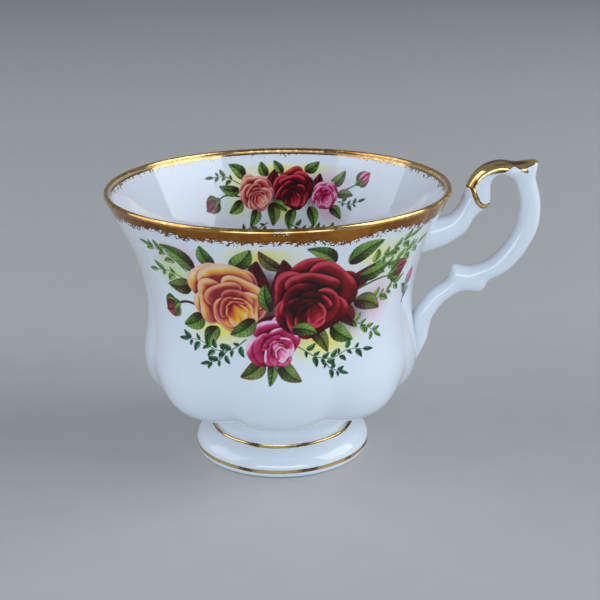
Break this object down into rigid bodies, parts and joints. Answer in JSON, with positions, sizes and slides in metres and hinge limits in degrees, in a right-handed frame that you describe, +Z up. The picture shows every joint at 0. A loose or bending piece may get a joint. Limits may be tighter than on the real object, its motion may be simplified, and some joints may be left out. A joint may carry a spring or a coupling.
{
  "type": "teacup",
  "caption": "Footed bone-china teacup with a flared rim, a lobed bowl, a scroll handle, brushed gilding and rose transfers.",
  "frame": {"origin": "on the table, under the middle of the whole cup with its handle, so the cup's own axis is 11.65 mm towards -X", "axes": "+X from the bowl towards the handle, +Z up out of the bowl's mouth, the large rose transfer faces -Y"},
  "size_m": [0.1122, 0.0892, 0.0779],
  "materials": {
    "china_bowl": "clear glossy glaze over white bone china",
    "china_foot": "clear glossy glaze over white bone china",
    "china_handle": "clear glossy glaze over white bone china",
    "gilding": "burnished liquid gold, brushed to an uneven edge",
    "front_transfer_colours": "printed ceramic colours under the glaze's gloss",
    "back_transfer_colours": "printed ceramic colours under the glaze's gloss",
    "inner_transfer_colours": "printed ceramic colours under the glaze's gloss"
  },
  "bodies": {
    "root": {"bowl": "china_bowl", "foot": "china_foot", "handle": "china_handle", "rim_gilding": "gilding", "handle_gilding": "gilding", "foot_gilding_upper": "gilding", "foot_gilding_lower": "gilding", "front_transfer": "front_transfer_colours", "back_transfer": "back_transfer_colours", "inner_transfer": "inner_transfer_colours"}
  },
  "joints": []
}
